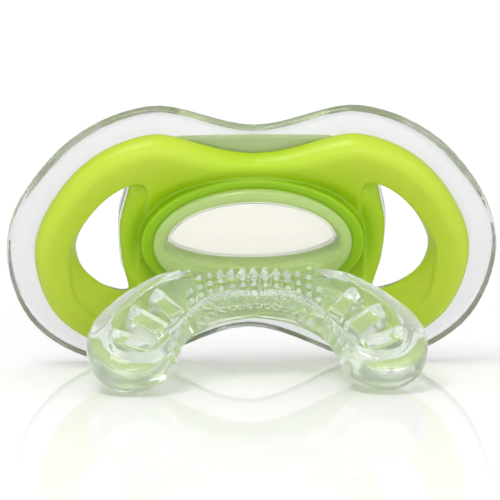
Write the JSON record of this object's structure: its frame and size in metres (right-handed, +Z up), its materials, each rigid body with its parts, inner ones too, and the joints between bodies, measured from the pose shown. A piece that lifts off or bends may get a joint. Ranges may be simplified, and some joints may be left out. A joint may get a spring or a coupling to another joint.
{
  "type": "teething pacifier",
  "caption": "Teething pacifier: a butterfly shield of a lime front shell on a clear rear shell, clamping a soft horseshoe teether with nubs and ribs.",
  "frame": {"origin": "on the table, under the middle of the object's bounding box as it stands on its two shield lobes and the teether's two tips", "axes": "+X across the shield to the viewer's right, +Y away from the teether towards the shield's clear back, +Z up; the teether's side faces -Y"},
  "size_m": [0.0602, 0.0286, 0.0344],
  "materials": {
    "lime_plastic": "satin moulded polypropylene, lime green",
    "clear_plastic": "polished clear moulded plastic",
    "clear_silicone": "polished translucent silicone"
  },
  "bodies": {
    "shield": {"front_shield": "lime_plastic", "rear_shell": "clear_plastic", "teether_base": "clear_silicone"},
    "mouthpiece": {"teether_mouthpiece": "clear_silicone"}
  },
  "joints": [
    {"name": "neck_flex", "type": "hinge", "parent": "shield", "child": "mouthpiece", "pos_m": [0, 0.00172, 0.01162], "axis": [1, 0, 0], "range_deg": [-10, 10], "stiffness_Nm_per_rad": 0.25}
  ]
}
